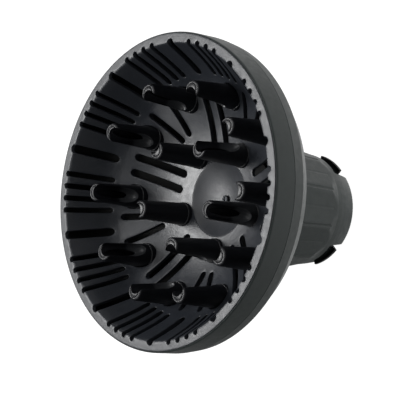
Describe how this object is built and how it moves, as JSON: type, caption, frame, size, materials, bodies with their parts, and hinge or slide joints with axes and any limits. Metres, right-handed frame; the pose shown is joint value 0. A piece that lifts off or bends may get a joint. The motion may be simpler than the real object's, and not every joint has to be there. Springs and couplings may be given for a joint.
{
  "type": "dryer diffuser",
  "caption": "Round bowl-shaped diffuser for a hand-held hair dryer: slotted inner bowl with hollow scooped fingers and a sprung push-on collar.",
  "frame": {"origin": "centre of the rear end of the collar, on the plane of the jaw ends", "axes": "+Z along the diffuser's axis, from the collar to the open mouth; +X through the first outer finger and the middle of a wide jaw"},
  "size_m": [0.1616, 0.1616, 0.115],
  "materials": {
    "shell_plastic": "satin charcoal, fine grain",
    "grille_plastic": "satin charcoal, fine grain",
    "finger_plastic": "satin charcoal",
    "dish_plastic": "radially brushed satin charcoal",
    "collar_plastic": "satin charcoal, fine grain",
    "inner_plastic": "matte black",
    "tongue_plastic": "matte black nylon",
    "screw_metal": "blackened steel"
  },
  "bodies": {
    "diffuser": {"outer_bowl": "shell_plastic", "front_grille": "grille_plastic", "centre_dish": "dish_plastic", "centre_screw": "screw_metal", "hub_spider": "inner_plastic", "adapter_collar": "collar_plastic", "spring_ring": "tongue_plastic", "finger_outer_01": "finger_plastic", "finger_outer_02": "finger_plastic", "finger_outer_03": "finger_plastic", "finger_outer_04": "finger_plastic", "finger_outer_05": "finger_plastic", "finger_outer_06": "finger_plastic", "finger_outer_07": "finger_plastic", "finger_outer_08": "finger_plastic", "finger_outer_09": "finger_plastic", "finger_outer_10": "finger_plastic", "finger_inner_1": "finger_plastic", "finger_inner_2": "finger_plastic", "finger_inner_3": "finger_plastic", "finger_inner_4": "finger_plastic", "finger_inner_5": "finger_plastic"},
    "tongue_1": {"grip_tongue_1": "tongue_plastic"},
    "tongue_2": {"grip_tongue_2": "tongue_plastic"},
    "tongue_3": {"grip_tongue_3": "tongue_plastic"}
  },
  "joints": [
    {"name": "tongue_1_flex", "type": "hinge", "parent": "diffuser", "child": "tongue_1", "pos_m": [0.01365, 0.02364, 0.025], "axis": [0.866, -0.5, 0], "range_deg": [0, 3], "stiffness_Nm_per_rad": 1.5},
    {"name": "tongue_2_flex", "type": "hinge", "parent": "diffuser", "child": "tongue_2", "pos_m": [-0.0273, 0, 0.025], "axis": [0, 1, 0], "range_deg": [0, 3], "stiffness_Nm_per_rad": 1.5},
    {"name": "tongue_3_flex", "type": "hinge", "parent": "diffuser", "child": "tongue_3", "pos_m": [0.01365, -0.02364, 0.025], "axis": [-0.866, -0.5, 0], "range_deg": [0, 3], "stiffness_Nm_per_rad": 1.5}
  ]
}
